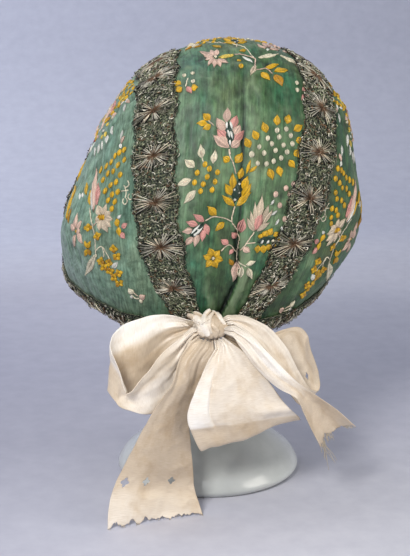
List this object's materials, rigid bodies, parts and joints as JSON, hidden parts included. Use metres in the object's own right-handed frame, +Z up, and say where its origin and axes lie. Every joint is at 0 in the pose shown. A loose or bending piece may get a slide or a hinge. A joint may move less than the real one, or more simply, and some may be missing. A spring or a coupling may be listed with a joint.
{
  "type": "embroidered cap on a hat stand",
  "caption": "Small three-piece silk cap with floral embroidery, metal lace over its seams and a ribbon bow at the nape, on a plain round hat stand.",
  "frame": {"origin": "centre of the stand's flat underside, on the table", "axes": "+Z up; +Y the way the wearer looks, so the nape and the bow are at -Y; +X to the right as seen from the bow"},
  "size_m": [0.224, 0.1877, 0.3302],
  "materials": {
    "silk": "green silk with coloured silk embroidery",
    "lace": "tarnished metal thread lace",
    "ribbon": "ivory silk ribbon",
    "stand": "glossy white"
  },
  "bodies": {
    "root": {"centre_panel": "silk", "side_panel_left": "silk", "side_panel_right": "silk", "lace_band_left": "lace", "lace_band_right": "lace", "lace_edge": "lace", "bow_knot": "ribbon", "bow_loop_left": "ribbon", "bow_loop_right": "ribbon", "bow_loop_centre": "ribbon", "bow_tail_left": "ribbon", "bow_tail_right": "ribbon", "hat_stand": "stand"}
  },
  "joints": []
}
